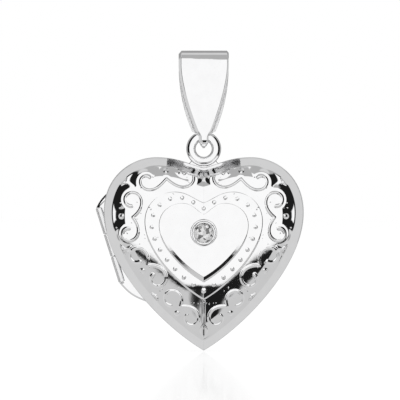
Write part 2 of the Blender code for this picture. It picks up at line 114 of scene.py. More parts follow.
# Inner face: wall thickness, top of the straight wall, and (inset, depth) of the bend above it
INNER_WALL = 0.35
INNER_WALL_TOP = 0.35
INNER_BEND = ((0.74, 0.82), (0.55, 0.68), (0.4, 0.5), (0.37, 0.43))
INNER_CREST_DROP = 0.4
# Groove for the hinge: radii on a shell's outer and inner face, and play past the pin's ends
GROOVE_OUTSIDE = 0.352
GROOVE_INSIDE = 0.366
GROOVE_END_PLAY = 0.1
GROOVE_LEAST_INWARD = 0.05
PANEL_WIDTH = 8.9
PANEL_HEIGHT = 7.8
PANEL_CLEFT = 1.1
PANEL_TIP = 6.95
PANEL_STEP = 0.04
PANEL_STEP_WIDTH = 0.05
PANEL_EDGE_WIDTH = 0.42
PANEL_FLAT_INSET = PANEL_EDGE_WIDTH + 0.03
TIP_FALL_TOP = PANEL_TIP + 0.3
# Radius at which the rows of a closed panel end in one flat face
LAST_ROW_RADIUS = 0.4

# Raised border of the front: its lobes follow the scrolls
PLATFORM_START = 0.27
PLATFORM_REACH = 0.4
LOBES_FROM = 9.6
LOBES_BLEND = 0.8
LOBES_OFF = 3
PLATFORM_FOOT = 0.18
SCROLL_WIDTH = 0.14
SCROLL_HEIGHT = 0.1
SCROLL_END_WIDTH = 0.2
SCROLL_END_HEIGHT = 0.12
SCROLL_SWELL = (0.82, 0.97)
OUTER_LINE_SHARE = 0.69
OUTER_LINE_WIDTH = 0.02
OUTER_LINE_STEP = 0.05
OUTER_LINE_FADE = 0.6
BEAD_SHARE = 0.845
BEADS_PER_SIDE = 12
BEAD_RADIUS = 0.19
BEAD_HEIGHT = 0.075

# A scroll is a bead, a cusp and two arms; an arm is heading, length, turn and quickening.
# Places count from the heart's tip, on its left side; the right side mirrors them.
SCROLLS = (
    ((-3.75, 18.0), (-3.7, 17.17), ((321, 4.79, 264, 2.1), (229, 4.72, -275, 2.1))),
    ((-8.2, 13.45), (-7.04, 13.35), ((40, 5.44, 323, 1.65), (306, 4.93, -312, 1.75))),
    ((-6.12, 7.99), (-5.55, 8.6), ((79, 4.91, 310, 1.45), (0, 5.45, -318, 1.6))),
    ((-2.67, 3.77), (-2.34, 4.48), ((67, 4.36, 287, 1.25), (3, 4.99, -317, 1.7))),
)
OUTER_BEAD_RADIUS = 0.26
OUTER_BEAD_HEIGHT = 0.16
# Small leaves in the dips between the scrolls: place and the way they point
SPRIGS = (((-7.9, 16.82), 135), ((-7.87, 10.12), 200), ((-4.81, 5.52), 225), ((0.0, 17.77), 90))
SPRIG_LENGTH = 1.0
SPRIG_WIDTH = 0.42
SPRIG_HEIGHT = 0.16
SPRIG_SPREAD = 55
SPRIG_REACH = 0.32
SPRIG_SIDE_SHARE = 0.75
VEIN_WIDTH = 0.045
VEIN_DEPTH_SHARE = 0.5
VEIN_LEAST_HALF = 0.05
TIP_LEAF = (0.0, 2.05)
TIP_LEAF_LENGTH = 1.4
TIP_LEAF_WIDTH = 0.8
TIP_LEAF_HEIGHT = 0.2
STEM_HALF_WIDTH = 0.16
STEM_SLOPE = 0.45
STEM_FOOT = (2.4, 2.9)
STEM_TOP = (PANEL_TIP - 2.2, PANEL_TIP - 1.6)

# Stone and setting
STONE_Z = round(float(sum(corner[2] for corner in node_box("stone"))) / 2 - TIP_Z, 4)
STONE_RADIUS = half_size("stone", 0)
SETTING_INSIDE = STONE_RADIUS + 0.03
SETTING_OUTSIDE = half_size("stone_setting", 0)
HOLE_RADIUS = 1.19
HALO_RADIUS = 1.3
HALO_WIDTH = 0.04
HALO_DEPTH = 0.03

# Mesh fineness
COLUMNS = 416
COARSE = 4
OUTLINE_STEPS = 60


# ---- shapes in the plane


def bezier(start, first, second, end, steps):
    """Points along one cubic stretch, without its end."""
    t = np.arange(steps)[:, None] / steps
    a, b, c, d = (1 - t) ** 3, 3 * t * (1 - t) ** 2, 3 * t * t * (1 - t), t**3
    return a * np.array(start) + b * np.array(first) + c * np.array(second) + d * np.array(end)


def heart_half(width, height, cleft, tip_z):
    """The right half of a heart, from its tip up to its notch."""
    half = width / 2
    wide = (half, height * WIDE_SHARE)
    lobe = (half * LOBE_SHARE, height)
    notch = (0, height - cleft)
    below, above = (share * height for share in SIDE_HANDLES)
    outside, inside = (share * half for share in LOBE_HANDLES)
    tip_handle = (TIP_HANDLE[0] * half, TIP_HANDLE[1] * height)
    notch_handle = (NOTCH_HANDLE[0] * half, notch[1] + NOTCH_HANDLE[1] * cleft)
    stretches = (
        ((0, 0), tip_handle, (half, wide[1] - below), wide),
        (wide, (half, wide[1] + above), (lobe[0] + outside, height), lobe),
        (lobe, (lobe[0] - inside, height), notch_handle, notch),
    )
    points = [bezier(*stretch, OUTLINE_STEPS) for stretch in stretches]
    return np.concatenate(points + [[notch]]) + (0, tip_z)


def resample(path, count):
    """count + 1 points evenly along an open path."""
    along = np.concatenate([[0], np.cumsum(np.hypot(*np.diff(path, axis=0).T))])
    wanted = np.linspace(0, along[-1], count + 1)
    return np.stack([np.interp(wanted, along, path[:, axis]) for axis in (0, 1)], axis=1)


def inset_half(half, distance):
    """A heart's right half moved inwards, trimmed where it would cross the middle."""
    run = np.gradient(half, axis=0)
    run[0] = half[1] - half[0]
    run[-1] = half[-1] - half[-2]
    run /= np.linalg.norm(run, axis=1)[:, None]
    moved = half + distance * np.stack([-run[:, 1], run[:, 0]], axis=1)
    kept = moved[moved[:, 0] > 1e-4]
    foot = kept[0] - run[0] * kept[0][0] / run[0][0]
    top = kept[-1] - run[-1] * kept[-1][0] / run[-1][0]
    foot[0] = top[0] = 0
    return np.concatenate([[foot], kept, [top]])


def ring(half, columns=COLUMNS):
    """A closed heart of 2 * columns points, anticlockwise from its tip."""
    right = resample(half, columns)
    left = right[-2:0:-1] * (-1, 1)
    return np.concatenate([right, left])


def circle_ring(radius, middle_z, columns=COLUMNS):
    """A circle with its points numbered as a heart's."""
    turn = np.linspace(-math.pi / 2, math.pi * 1.5, 2 * columns + 1)[:-1]
    return np.stack([radius * np.cos(turn), middle_z + radius * np.sin(turn)], axis=1)


HEART = heart_half(HEART_WIDTH, HEART_HEIGHT, CLEFT_DEPTH, TIP_Z)
PANEL = heart_half(PANEL_WIDTH, PANEL_HEIGHT, PANEL_CLEFT, TIP_Z + PANEL_TIP)


def blended(value, other, share):
    """A value turned into another by a share."""
    return value + (other - value) * share


def smooth_step(low, high, value):
    """0 below low, 1 above high, smooth between."""
    t = np.clip((value - low) / (high - low), 0, 1)
    return t * t * (3 - 2 * t)


def nearest_on(path, points):
    """Distance of each point from a path, and how far along the path it is, from 0 to 1."""
    best = np.full(len(points), 1e9)
    share = np.zeros(len(points))
    count = len(path) - 1
    for index in range(count):
        run = path[index + 1] - path[index]
        t = np.clip(((points - path[index]) @ run) / (run @ run), 0, 1)
        distance = np.hypot(*(points - path[index] - t[:, None] * run).T)
        closer = distance < best
        best = np.where(closer, distance, best)
        share = np.where(closer, (index + t) / count, share)
    return best, share


def scroll_arm(cusp, heading, length, turn, quickening, steps=56):
    """A curl that leaves the cusp at a heading, in degrees, and turns ever faster."""
    middle = (np.arange(steps) + 0.5) / steps
    angle = np.radians(heading + turn * middle**quickening)
    moves = np.stack([np.cos(angle), np.sin(angle)], axis=1) * length / steps
    start = np.array(cusp) + (0, TIP_Z)
    return np.concatenate([[start], start + np.cumsum(moves, axis=0)])


ARMS = [scroll_arm(cusp, *arm) for _, cusp, arms in SCROLLS for arm in arms]


# ---- relief of the front


def bump(distance, radius, height):
    """A round bump over a distance from its middle."""
    return height * np.sqrt(np.clip(1 - (distance / radius) ** 2, 0, 1))


def ridge(distance, width, height):
    """A cord's section: smooth at its foot and round on top."""
    return height * np.clip(1 - (distance / width) ** 2, 0, 1) ** 1.5


def leaf(points, middle, heading, length, width, height):
    """A pointed leaf with a cut vein."""
    turn = math.radians(heading)
    away = points - (np.array(middle) + (0, TIP_Z))
    along = away @ (math.cos(turn), math.sin(turn))
    across = away @ (-math.sin(turn), math.cos(turn))
    half = width / 2 * np.clip(1 - (2 * along / length) ** 2, 0, 1)
    body = height * np.sqrt(np.clip(1 - (across / np.maximum(half, 1e-3)) ** 2, 0, 1))
    vein = VEIN_DEPTH_SHARE * height * np.exp(-((across / VEIN_WIDTH) ** 2))
    vein *= half > VEIN_LEAST_HALF
    return np.maximum(body - vein, 0)


def around(radius, height, degrees):
    """A place on a circle about a local Z axis."""
    turn = math.radians(degrees)
    return radius * math.cos(turn), radius * math.sin(turn), height


def sprig(points, middle, heading):
    """Three small leaves that spread from one place."""
    made = np.zeros(len(points))
    for spread in (-SPRIG_SPREAD, 0, SPRIG_SPREAD):
        away = around(SPRIG_REACH * SPRIG_LENGTH, 0, heading + spread)
        place = (middle[0] + away[0], middle[1] + away[1])
        length = SPRIG_LENGTH * (1 if spread == 0 else SPRIG_SIDE_SHARE)
        one = leaf(points, place, heading + spread, length, SPRIG_WIDTH, SPRIG_HEIGHT)
        made = np.maximum(made, one)
    return made


def front_depth(points, share, rim_gap):
    """Depth of the front's dome at points a share of the way from the rim to the panel."""
    left = np.stack([-np.abs(points[:, 0]), points[:, 1]], axis=1)
    dome = DOME_TOP - DOME_DROP * (1 - share) ** DOME_POWER
    above_tip = left[:, 1] - TIP_Z
    fall = smooth_step(0, TIP_FALL_LENGTH, TIP_FALL_TOP - above_tip)
    dome -= TIP_FALL * fall * np.exp(-((left[:, 0] / TIP_FALL_REACH) ** 2))
    from_rim = share * rim_gap
    to_platform = (PLATFORM_START - share) * rim_gap
    lobed = smooth_step(LOBES_FROM - LOBES_BLEND, LOBES_FROM + LOBES_BLEND, above_tip)
    cords = np.zeros(len(points))
    for arm in ARMS:
        distance, along = nearest_on(arm, left)
        lobe_gap = distance - PLATFORM_REACH + LOBES_OFF * (1 - lobed)
        to_platform = np.minimum(to_platform, lobe_gap)
        swell = smooth_step(*SCROLL_SWELL, along)
        width = blended(SCROLL_WIDTH, SCROLL_END_WIDTH, swell)
        height = blended(SCROLL_HEIGHT, SCROLL_END_HEIGHT, swell)
        cords = np.maximum(cords, ridge(distance, width, height))
    to_platform = np.maximum(to_platform, 0)
    climb = np.minimum(from_rim / np.maximum(from_rim + to_platform, PLATFORM_FOOT), 1)
    depth = RIM_TOP + (dome - RIM_TOP) * (1 - (1 - climb) ** CLIMB_POWER)
    outside_line = 1 - smooth_step(OUTER_LINE_SHARE, OUTER_LINE_SHARE + OUTER_LINE_WIDTH, share)
    depth -= OUTER_LINE_STEP * outside_line * smooth_step(0.0, OUTER_LINE_FADE, share)
    for bead, _, _ in SCROLLS:
        away = np.hypot(*(left - bead - (0, TIP_Z)).T)
        cords = np.maximum(cords, bump(away, OUTER_BEAD_RADIUS, OUTER_BEAD_HEIGHT))
    for middle, heading in SPRIGS:
        cords = np.maximum(cords, sprig(left, middle, heading))
    tip_leaf = leaf(left, TIP_LEAF, 90, TIP_LEAF_LENGTH, TIP_LEAF_WIDTH, TIP_LEAF_HEIGHT)
    cords = np.maximum(cords, tip_leaf)
    stem = smooth_step(*STEM_FOOT, above_tip) * (1 - smooth_step(*STEM_TOP, above_tip))
    depth -= STEM_SLOPE * stem * np.maximum(STEM_HALF_WIDTH + left[:, 0], 0)
    cords = np.maximum(cords, small_beads(left))
    return depth + cords


def small_beads(points):
    """The beads between the two heart lines."""
    rim_edge = resample(inset_half(HEART, RIM_WIDTH), COLUMNS)
    panel = resample(PANEL, COLUMNS)
    path = resample(blended(rim_edge, panel, BEAD_SHARE), BEADS_PER_SIDE + 1)
    made = np.zeros(len(points))
    for middle in path * (-1, 1):
        made = np.maximum(made, bump(np.hypot(*(points - middle).T), BEAD_RADIUS, BEAD_HEIGHT))
    return made


def back_depth(share):
    """Depth of the plain back's dome a share of the way from the rim to the panel."""
    return RIM_TOP + (DOME_TOP - RIM_TOP) * (1 - (1 - share) ** BACK_DOME_POWER)


# ---- meshes


def add_object(name, data):
    """An object of the scene that holds some data."""
    made = bpy.data.objects.new(name, data)
    bpy.context.scene.collection.objects.link(made)
    return made


def shape_object(name, shape):
    """An object of the scene from a finished bmesh."""
    mesh = bpy.data.meshes.new(name)
    shape.to_mesh(mesh)
    shape.free()
    return add_object(name, mesh)


def make_piece(name, points, faces, material, body, node, smooth_angle=40.0):
    """An object from points in mm, facing outwards, that rides on a body and replaces a node."""
    mesh = bpy.data.meshes.new(name)
    mesh.from_pydata((np.asarray(points) * MM).tolist(), [], faces)
    mesh.update()
    piece = add_object(name, mesh)
    if volume(mesh) < 0:
        mesh.flip_normals()
    mesh.shade_smooth()
    mesh.set_sharp_from_angle(angle=math.radians(smooth_angle))
    mesh.materials.append(material)
    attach(piece, body)
    if node:
        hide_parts(node)
    return piece


def volume(mesh):
    """Signed volume of a mesh, up to a factor: negative if it is inside out."""
    mesh.calc_loop_triangles()
    corners = np.zeros(len(mesh.loop_triangles) * 3, np.int32)
    mesh.loop_triangles.foreach_get("vertices", corners)
    places = np.zeros(len(mesh.vertices) * 3)
    mesh.vertices.foreach_get("co", places)
    a, b, c = places.reshape(-1, 3)[corners.reshape(-1, 3)].transpose(1, 0, 2)
    return float(np.einsum("ij,ij->", a, np.cross(b, c)))


def band(first, second, count):
    """Quads between two rings of count points, given their first indices."""
    index = np.arange(count)
    following = (index + 1) % count
    near = [first + index, first + following]
    return np.stack(near + [second + following, second + index], axis=1).tolist()


def bands(rows, count, start=0, closed=False):
    """Quads through a stack of rings of count points, from the index of the first point."""
    faces = []
    for row in range(rows if closed else rows - 1):
        faces += band(start + row * count, start + (row + 1) % rows * count, count)
    return faces


def stitch(fine, coarse, count):
    """Triangles between a ring of count points and one of count / COARSE points."""
    faces = []
    small = count // COARSE
    half = COARSE // 2
    for index in range(small):
        here = coarse + index
        after = coarse + (index + 1) % small
        start = index * COARSE
        edge = [fine + (start + step) % count for step in range(COARSE + 1)]
        for step in range(COARSE):
            faces.append([edge[step], edge[step + 1], here if step < half else after])
        faces.append([here, edge[half], after])
    return faces


def ring_points(outline, depth, side):
    """An outline as points at a depth on a side: -1 front, 1 back."""
    depth = np.broadcast_to(depth, len(outline))
    return np.stack([outline[:, 0], side * depth, outline[:, 1]], axis=1)


def heart_row(half, inset, depth, side, columns):
    """A heart moved inwards, as a ring of points at a depth."""
    return ring_points(ring(inset_half(half, inset), columns), depth, side)


def clear_of_hinge(points, radius):
    """Push points out of the straight groove in which the hinge lies."""
    low, high = node_box("hinge_pin")
    reach = np.linalg.norm(high - low) / 2 + GROOVE_END_PLAY
    away = points - HINGE_PLACE
    along = away @ HINGE_AXIS
    across = away - along[:, None] * HINGE_AXIS
    distance = np.linalg.norm(across, axis=1)
    inside = (distance < radius) & (np.abs(along) < reach)
    aim = across.copy()
    aim[:, 0] = np.maximum(aim[:, 0], GROOVE_LEAST_INWARD)
    aim -= (aim @ HINGE_AXIS)[:, None] * HINGE_AXIS
    aim /= np.linalg.norm(aim, axis=1)[:, None]
    moved = HINGE_PLACE + along[:, None] * HINGE_AXIS + aim * radius
    return np.where(inside[:, None], moved, points)


def dome_shares(steps_border, steps_beads):
    """Rows of the dome as shares of the way from the rim to the panel, close at the lines."""
    border = np.linspace(0, OUTER_LINE_SHARE - 0.01, steps_border)[1:]
    line = OUTER_LINE_SHARE + np.array([0.0, 0.01, 0.02, 0.03])
    beads = np.linspace(OUTER_LINE_SHARE + 0.045, 1.0, steps_beads)
    return np.concatenate([border, line, beads])


def rim_section():
    """The rim's outside as (inset, depth): a short wall, a rounded edge and a long bevel."""
    corners = [(0.0, depth) for depth in (PARTING, *RIM_WALL_ROWS, RIM_WALL)]
    for turn in (30, 60, 90):
        angle = math.radians(turn)
        inward = RIM_ROUND * (1 - math.cos(angle))
        corners.append((inward, RIM_WALL + RIM_ROUND_RISE * math.sin(angle)))
    inset, depth = corners[-1]
    for step in range(1, RIM_BEVEL_STEPS + 1):
        share = step / RIM_BEVEL_STEPS
        corners.append((blended(inset, RIM_WIDTH, share), blended(depth, RIM_TOP, share)))
    return corners


def panel_section():
    """The raised panel's edge as (inset, depth): a small step and a faint wide bevel."""
    foot = DOME_TOP + PANEL_STEP
    corners = [(PANEL_STEP_WIDTH * share, DOME_TOP + PANEL_STEP * share) for share in (0.5, 1.0)]
    for share in (0.15, 0.4, 0.7, 0.9, 1.0):
        inward = blended(PANEL_STEP_WIDTH, PANEL_EDGE_WIDTH, share)
        corners.append((inward, blended(foot, HALF_DEPTH, share)))
    corners.append((PANEL_FLAT_INSET, HALF_DEPTH))
    return corners


def build_shell(name, side, material, body, node):
    """A half shell: rim, dome, raised heart panel, and a plain inside."""
    front = side < 0
    columns = COLUMNS if front else COLUMNS // 2
    count = 2 * columns
    rows = [heart_row(HEART, *corner, side, columns) for corner in rim_section()]
    rim_edge = ring(inset_half(HEART, RIM_WIDTH), columns)
    panel = ring(PANEL, columns)
    gap = np.hypot(*(panel - rim_edge).T)
    shares = dome_shares(56, 20) if front else dome_shares(20, 8)
    outlines = [blended(rim_edge, panel, share) for share in shares]
    if front:
        along = np.repeat(shares, count)
        depths = front_depth(np.concatenate(outlines), along, np.tile(gap, len(shares)))
    else:
        depths = np.repeat([back_depth(share) for share in shares], count)
    for outline, depth in zip(outlines, depths.reshape(-1, count)):
        rows.append(ring_points(outline, depth, side))
    rows += [heart_row(PANEL, *corner, side, columns) for corner in panel_section()]
    flat = ring(inset_half(PANEL, PANEL_FLAT_INSET), columns)
    middle = TIP_Z + STONE_Z
    if front:
        halo = circle_ring(HALO_RADIUS + HALO_WIDTH * 2, middle, columns)
        for t in (0.1, 0.4, 0.7, 1.0):
            rows.append(ring_points(blended(flat, halo, t), HALF_DEPTH, side))
        for offset, sink in ((1, 0.0), (0, HALO_DEPTH), (-1, 0.0)):
            circle = circle_ring(HALO_RADIUS + offset * HALO_WIDTH, middle, columns)
            rows.append(ring_points(circle, HALF_DEPTH - sink, side))
        rows.append(ring_points(circle_ring(HOLE_RADIUS, middle, columns), HALF_DEPTH, side))
    else:
        circle = circle_ring(LAST_ROW_RADIUS, middle, columns)
        for t in (0.15, 0.5, 0.85):
            rows.append(ring_points(blended(flat, circle, t), HALF_DEPTH, side))
    points = [clear_of_hinge(row, GROOVE_OUTSIDE) for row in rows]
    faces = bands(len(rows), count)
    # the inside, with fewer columns, from the middle out to the parting edge
    small = count // COARSE
    start = len(rows) * count
    inside = inside_rows(side, columns // COARSE, front, middle)
    faces += bands(len(inside), small, start)
    last = start + (len(inside) - 1) * small
    faces += [face[::-1] for face in stitch(0, last, count)]
    if front:
        faces += stitch((len(rows) - 1) * count, start, count)
    else:
        faces.append([(len(rows) - 1) * count + index for index in range(count)])
        faces.append([start + index for index in range(small)][::-1])
    points = np.concatenate(points + [clear_of_hinge(row, GROOVE_INSIDE) for row in inside])
    return make_piece(name, points, faces, material, body, node, 50.0)


def inside_rows(side, columns, front, middle):
    """Rows of a half shell's inner face, from the middle to the parting edge."""
    rows = []
    panel = ring(PANEL, columns)
    top = HALF_DEPTH - INNER_WALL
    first_radius = HOLE_RADIUS if front else LAST_ROW_RADIUS
    rows.append(ring_points(circle_ring(first_radius, middle, columns), top, side))
    rows.append(ring_points(panel, top, side))
    rim_edge = ring(inset_half(HEART, RIM_WIDTH), columns)
    crest = RIM_TOP - INNER_CREST_DROP
    for share in (0.8, 0.6, 0.45, 0.3, 0.15, 0.0):
        depth = crest + (top - crest) * (1 - (1 - share) ** BACK_DOME_POWER)
        rows.append(ring_points(blended(rim_edge, panel, share), depth, side))
    wall = [(INNER_WALL, depth) for depth in np.linspace(INNER_WALL_TOP, PARTING, 6)]
    return rows + [heart_row(HEART, *corner, side, columns) for corner in (*INNER_BEND, *wall)]


def hoop(name, section, side, material, body, node, columns=128):
    """A heart-shaped hoop from its section's corners (inset, depth), outside first."""
    rows = [heart_row(HEART, *corner, side, columns) for corner in section]
    faces = bands(len(rows), 2 * columns, closed=True)
    return make_piece(name, np.concatenate(rows), faces, material, body, node)


def turned(name, profile, matrix, material, body, node, steps=64, hollow=True):
    """A profile of (radius, height) turned about a local Z axis, placed by a matrix in mm."""
    turn = np.linspace(0, math.tau, steps + 1)[:-1]
    rows = []
    for radius, height in profile:
        local = np.stack([radius * np.cos(turn), radius * np.sin(turn), turn * 0 + height], axis=1)
        rows.append(local @ matrix[:3, :3].T + matrix[:3, 3])
    faces = bands(len(rows), steps, closed=hollow)
    if not hollow:
        last = (len(rows) - 1) * steps
        faces.append(list(range(steps))[::-1])
        faces.append([last + index for index in range(steps)])
    return make_piece(name, np.concatenate(rows), faces, material, body, node)


BEVEL_SLOPE = 0.65


def shrunk(outline, distance):
    """A closed anticlockwise outline moved inwards."""
    run = np.roll(outline, -1, axis=0) - outline
    run /= np.linalg.norm(run, axis=1)[:, None]
    inward = np.stack([-run[:, 1], run[:, 0]], axis=1)
    both = inward + np.roll(inward, 1, axis=0)
    both /= np.maximum(np.sum(both * np.roll(inward, 1, axis=0), axis=1), 0.5)[:, None]
    return outline + distance * both


def plate(name, outline, near, far, bevel, material, body, node=None):
    """A flat plate from a closed outline, between two distances behind the parting plane."""
    outline = np.asarray(outline, float)
    following = np.roll(outline, -1, axis=0)
    if np.sum(outline[:, 0] * following[:, 1] - following[:, 0] * outline[:, 1]) < 0:
        outline = outline[::-1]
    small = shrunk(outline, bevel)
    rows = []
    drop = bevel * BEVEL_SLOPE
    for shape, depth in ((small, near), (outline, near + drop), (outline, far - drop), (small, far)):
        rows.append(ring_points(shape, depth, 1))
    count = len(outline)
    faces = [list(range(count)), [3 * count + index for index in range(count)][::-1]]
    faces += [face[::-1] for face in bands(len(rows), count)]
    return make_piece(name, np.concatenate(rows), faces, material, body, node, 20.0)


# ---- materials


def new_material(name):
    """A material and its node tree."""
    made = bpy.data.materials.new(name)
    made.use_nodes = True
    return made, made.node_tree


def add_node(tree, kind, **values):
    """A shader node with some of its inputs set."""
    node = tree.nodes.new(kind)
    for name, value in values.items():
        node.inputs[name.replace("_", " ")].default_value = value
    return node


def spread_roughness(tree, source, shader, seen, wanted):
    """A texture's values, from the seen range, as a roughness in the wanted range."""
    spread = tree.nodes.new("ShaderNodeMapRange")
    names = ("From Min", "From Max", "To Min", "To Max")
    for name, value in zip(names, (*seen, *wanted)):
        spread.inputs[name].default_value = value
    tree.links.new(source, spread.inputs["Value"])
    tree.links.new(spread.outputs["Result"], shader.inputs["Roughness"])


def ramp_color(tree, source, shader, *stops):
    """A texture's values as the base color, from stops of (position, color)."""
    tone = tree.nodes.new("ShaderNodeValToRGB")
    for element, (position, color) in zip(tone.color_ramp.elements, stops):
        element.position = position
        element.color = (*color, 1.0)
    tree.links.new(source, tone.inputs["Fac"])
    tree.links.new(tone.outputs["Color"], shader.inputs["Base Color"])


def silver(name, color, low, high, grain, relief, stretch=(1, 1, 1)):
    """Polished metal: a roughness that varies with fine rubbing marks, and faint waviness."""
    made, tree = new_material(name)
    shader = tree.nodes["Principled BSDF"]
    link = tree.links.new
    shader.inputs["Metallic"].default_value = 1.0
    place = tree.nodes.new("ShaderNodeTexCoord")
    mapping = add_node(tree, "ShaderNodeMapping", Scale=stretch)
    link(place.outputs["Object"], mapping.inputs["Vector"])
    rub = add_node(tree, "ShaderNodeTexNoise", Scale=grain, Detail=6.0, Roughness=0.6)
    link(mapping.outputs["Vector"], rub.inputs["Vector"])
    spread_roughness(tree, rub.outputs["Fac"], shader, (0.3, 0.7), (low, high))
    worn = [0.975 * value for value in color]
    ramp_color(tree, rub.outputs["Fac"], shader, (0.35, worn), (0.6, color))
    wave = add_node(tree, "ShaderNodeTexNoise", Scale=grain * 2.5, Detail=3.0)
    link(mapping.outputs["Vector"], wave.inputs["Vector"])
    bumps = add_node(tree, "ShaderNodeBump", Strength=relief, Distance=0.00002)
    link(wave.outputs["Fac"], bumps.inputs["Height"])
    link(bumps.outputs["Normal"], shader.inputs["Normal"])
    return made


def clear(name, color, ior, grain, through=1.0, painted_glint_scale=None):
    """A clear solid with very fine wear on its surface, and for a stone a painted reflection: dark and
    bright glint spots painted into its base colour.
    """
    made, tree = new_material(name)
    shader = tree.nodes["Principled BSDF"]
    link = tree.links.new
    shader.inputs["Base Color"].default_value = (*color, 1.0)
    shader.inputs["Transmission Weight"].default_value = through
    shader.inputs["IOR"].default_value = ior
    place = tree.nodes.new("ShaderNodeTexCoord")
    wear = add_node(tree, "ShaderNodeTexNoise", Scale=grain, Detail=4.0)
    link(place.outputs["Object"], wear.inputs["Vector"])
    spread_roughness(tree, wear.outputs["Fac"], shader, (0.45, 0.8), (0.0, 0.04))
    # painted reflection: dark and bright glint spots painted into the stone's base colour, cell by
    # cell
    if painted_glint_scale:
        painted_glint_cells = add_node(tree, "ShaderNodeTexVoronoi", Scale=painted_glint_scale)
        link(place.outputs["Object"], painted_glint_cells.inputs["Vector"])
        ramp_color(tree, painted_glint_cells.outputs["Color"], shader, (0.25, (0.12, 0.12, 0.12)), (0.5, color))
    return made


SILVER = silver("polished_silver", (0.955, 0.955, 0.96), 0.02, 0.06, 900.0, 0.12)
SATIN = silver("satin_silver", (0.9, 0.9, 0.905), 0.16, 0.28, 2600.0, 0.35)
PIN_SILVER = silver("pin_silver", (0.8, 0.8, 0.81), 0.14, 0.26, 1500.0, 0.4, (1, 1, 0.15))
CLEAR_SHEET = clear("clear_sheet", (0.97, 0.98, 0.985), 1.49, 1200.0)
# the stone's base colour carries painted glint spots, a painted reflection of its facets
STONE_WITH_PAINTED_GLINTS = clear("clear_stone", (1.0, 1.0, 1.0), 2.0, 3000.0, 0.3, 3600.0)


# ---- bail

BAIL_THICKNESS = 0.35
BAIL_TOP_WIDTH = 5.0
BAIL_FRONT_END_WIDTH = 1.2
BAIL_BACK_END_WIDTH = 1.96
BAIL_WAIST_WIDTH = 1.24
BAIL_WAIST_HEIGHT = 0.15
BAIL_SHOULDER_HEIGHT = 0.5
BAIL_BEND_WIDTH = 0.4
BAIL_BEND_POWER = 0.8
BAIL_FOLD_RADIUS = 1.25
BAIL_BEND_RADIUS = 0.9
BAIL_FRONT_TAPER = 1.55
BAIL_BACK_TAPER = 2.0
BAIL_BEND_DROP = 0.35
BAIL_POINT_START = 0.92
BAIL_POINT_SHARE = 0.15
# Most of the width that an edge may take, and the bevel of the strap's inner edges
BAIL_EDGE_SHARE = 0.3
BAIL_INNER_BEVEL = 0.03
# The strap's rounded edges: side, and steps as (width, drop) from the flat face outwards
BAIL_EDGES = (
    (-1, ((0.03, 0.006), (0.04, 0.026), (0.24, 0.28))),
    (1, ((0.02, 0.004), (0.03, 0.02), (0.14, 0.165))),
)


def leaf_width(share, end_width, taper):
    """The strap's width a share of the way down a leaf."""
    return BAIL_TOP_WIDTH - (BAIL_TOP_WIDTH - end_width) * share**taper


def bail_path(leaf_steps=40, turn_steps=36):
    """The middle of the strap as (y, z, width), down the front and up the back."""
    fold = BAIL_FOLD_RADIUS + BAIL_THICKNESS / 2
    bend = BAIL_BEND_RADIUS + BAIL_THICKNESS / 2
    fold_z = -BAIL_FOLD_RADIUS
    swing_z = SWING_PLACE[2]
    drop = fold_z - swing_z
    shoulder = 1 - BAIL_SHOULDER_HEIGHT / drop
    waist = 1 - BAIL_WAIST_HEIGHT / drop
    path = []
    for index in range(turn_steps):
        turn = math.pi * index / turn_steps
        path.append((fold * math.cos(turn), fold_z + fold * math.sin(turn), BAIL_TOP_WIDTH))
    for index in range(leaf_steps):
        share = index / leaf_steps
        width = leaf_width(share, BAIL_FRONT_END_WIDTH, BAIL_FRONT_TAPER)
        width *= 1 - BAIL_POINT_SHARE * float(smooth_step(BAIL_POINT_START, 1, share))
        path.append((-fold + (fold - bend) * share, fold_z - drop * share, width))
    point_width = BAIL_FRONT_END_WIDTH * (1 - BAIL_POINT_SHARE)
    path.append((-bend, swing_z, point_width))
    for index in range(1, turn_steps):
        turn = math.pi * index / turn_steps
        side = point_width if index * 2 < turn_steps else BAIL_WAIST_WIDTH
        widening = (1 - math.sin(turn)) ** BAIL_BEND_POWER
        width = blended(BAIL_BEND_WIDTH, side, widening)
        fall = blended(BAIL_BEND_DROP, bend, math.sin(turn))
        path.append((-bend * math.cos(turn), swing_z - fall, width))
    path.append((bend, swing_z, BAIL_WAIST_WIDTH))
    path.append((fold - (fold - bend) * waist, fold_z - drop * waist, BAIL_WAIST_WIDTH))
    for index in range(leaf_steps):
        share = shoulder * (1 - index / leaf_steps)
        width = leaf_width(share, BAIL_BACK_END_WIDTH, BAIL_BACK_TAPER)
        path.append((fold - (fold - bend) * share, fold_z - drop * share, width))
    return path


def bail_section(width):
    """The strap's section as (across, out), anticlockwise: a flat face with sloping edges."""
    out = BAIL_THICKNESS / 2
    half = width / 2
    sides = {}
    for side, steps in BAIL_EDGES:
        size = min(1, width * BAIL_EDGE_SHARE / sum(step[0] for step in steps))
        across = half - size * sum(step[0] for step in steps)
        away = out
        outline = [(side * across * 0.4, out), (side * (across - 0.01), out)]
        for step_width, step_drop in steps:
            across += size * step_width
            away -= size * step_drop
            outline.append((side * across, away))
        outline.append((side * half, -out + BAIL_INNER_BEVEL))
        outline.append((side * (half - BAIL_INNER_BEVEL), -out))
        sides[side] = outline[::-1]
    return sides[1] + sides[-1][::-1]


